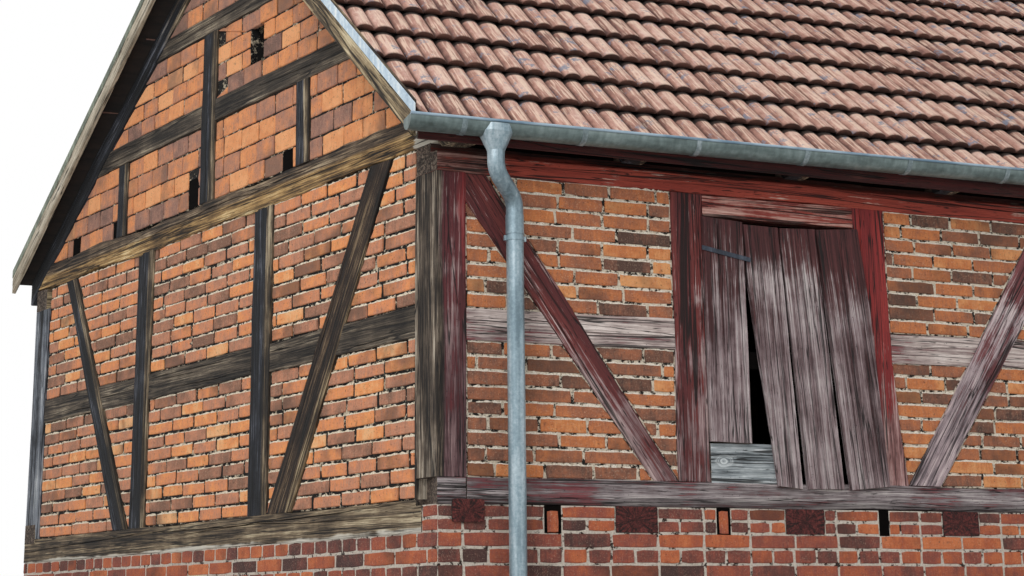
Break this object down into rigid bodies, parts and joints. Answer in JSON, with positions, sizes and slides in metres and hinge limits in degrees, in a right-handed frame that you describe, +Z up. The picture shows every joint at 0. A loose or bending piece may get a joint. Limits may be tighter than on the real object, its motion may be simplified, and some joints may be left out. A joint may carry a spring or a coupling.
{
  "type": "half-timbered barn",
  "caption": "Half-timbered barn with a skewed gable, brick infill, crossing braces, a boarded loft hatch, a pantiled roof and a half-round gutter with swan-neck downpipes.",
  "frame": {"origin": "middle of the footprint at ground level", "axes": "+X along the eaves wall towards the square end, +Y to the rear, +Z up"},
  "size_m": [9.6763, 4.897, 6.3218],
  "materials": {
    "brick_masonry": "weathered brick in lime mortar",
    "painted_timber": "flaking red paint on oak",
    "grey_timber": "weathered bare oak",
    "inner_timber": "rough sawn",
    "hatch_boards": "weathered boards with traces of paint",
    "roof_tiles": "fired clay",
    "zinc": "dull zinc sheet",
    "iron": "rusted black iron"
  },
  "bodies": {
    "root": {"barge_boards": "grey_timber", "beam_filling": "brick_masonry", "ceiling_beams": "inner_timber", "corner_posts": "painted_timber", "door_planks": "hatch_boards", "downpipes": "zinc", "eaves_board": "painted_timber", "end_sills": "grey_timber", "far_end_braces": "grey_timber", "far_end_infill": "brick_masonry", "far_end_posts": "grey_timber", "far_end_rails": "grey_timber", "floor_joists": "inner_timber", "front_braces": "painted_timber", "front_infill": "brick_masonry", "front_posts": "painted_timber", "front_rails": "painted_timber", "gable_braces": "grey_timber", "gable_infill": "brick_masonry", "gable_posts": "grey_timber", "gable_rails": "grey_timber", "ground_wall_ends": "brick_masonry", "ground_wall_front": "brick_masonry", "ground_wall_rear": "brick_masonry", "gutter": "zinc", "gutter_brackets": "zinc", "hatch_planks": "hatch_boards", "ledges": "inner_timber", "lintels": "painted_timber", "pipe_clamps": "zinc", "rafters": "inner_timber", "rear_braces": "grey_timber", "rear_infill": "brick_masonry", "rear_posts": "grey_timber", "rear_rails": "grey_timber", "ridge_cap": "roof_tiles", "roof_front": "roof_tiles", "roof_rear": "roof_tiles", "side_sills": "painted_timber", "strap_hinges": "iron", "threshold_board": "hatch_boards", "tie_beams": "grey_timber", "upper_floor": "inner_timber", "verge_flashing": "zinc", "wall_plates": "painted_timber"}
  },
  "joints": []
}
